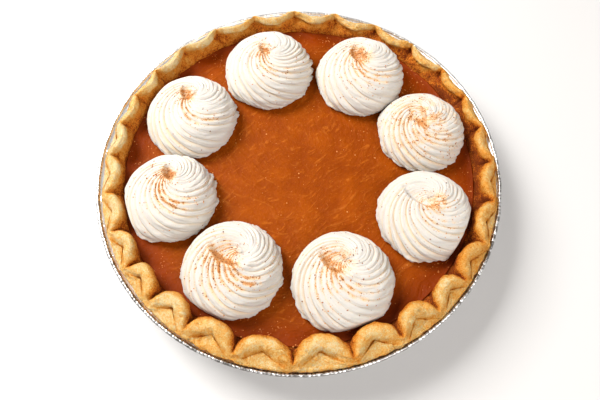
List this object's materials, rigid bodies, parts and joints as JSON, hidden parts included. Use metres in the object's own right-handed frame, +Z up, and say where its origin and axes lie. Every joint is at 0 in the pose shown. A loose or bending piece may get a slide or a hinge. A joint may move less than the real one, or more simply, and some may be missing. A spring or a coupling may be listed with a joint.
{
  "type": "pumpkin pie",
  "caption": "Pumpkin pie in a round foil pan, with a fluted crust, a smooth set filling and piped cream rosettes dusted with spice.",
  "frame": {"origin": "centre of the underside of the foil pan, on the table", "axes": "+Z up out of the pie, +Y towards the back of the pie, +X to its right seen from the front"},
  "size_m": [0.2439, 0.2439, 0.0481],
  "materials": {
    "foil": "thin pressed aluminium foil, bright and lightly crimped",
    "crust": "baked shortcrust pastry, pale gold on the ridges and brown in the folds",
    "filling": "baked pumpkin custard with a moist, glossy skin",
    "cream": "whipped cream, soft and matt, dusted with ground spice"
  },
  "bodies": {
    "root": {"pan": "foil", "crust": "crust", "filling": "filling", "rosette_1": "cream", "rosette_2": "cream", "rosette_3": "cream", "rosette_4": "cream", "rosette_5": "cream", "rosette_6": "cream", "rosette_7": "cream", "rosette_8": "cream"}
  },
  "joints": []
}
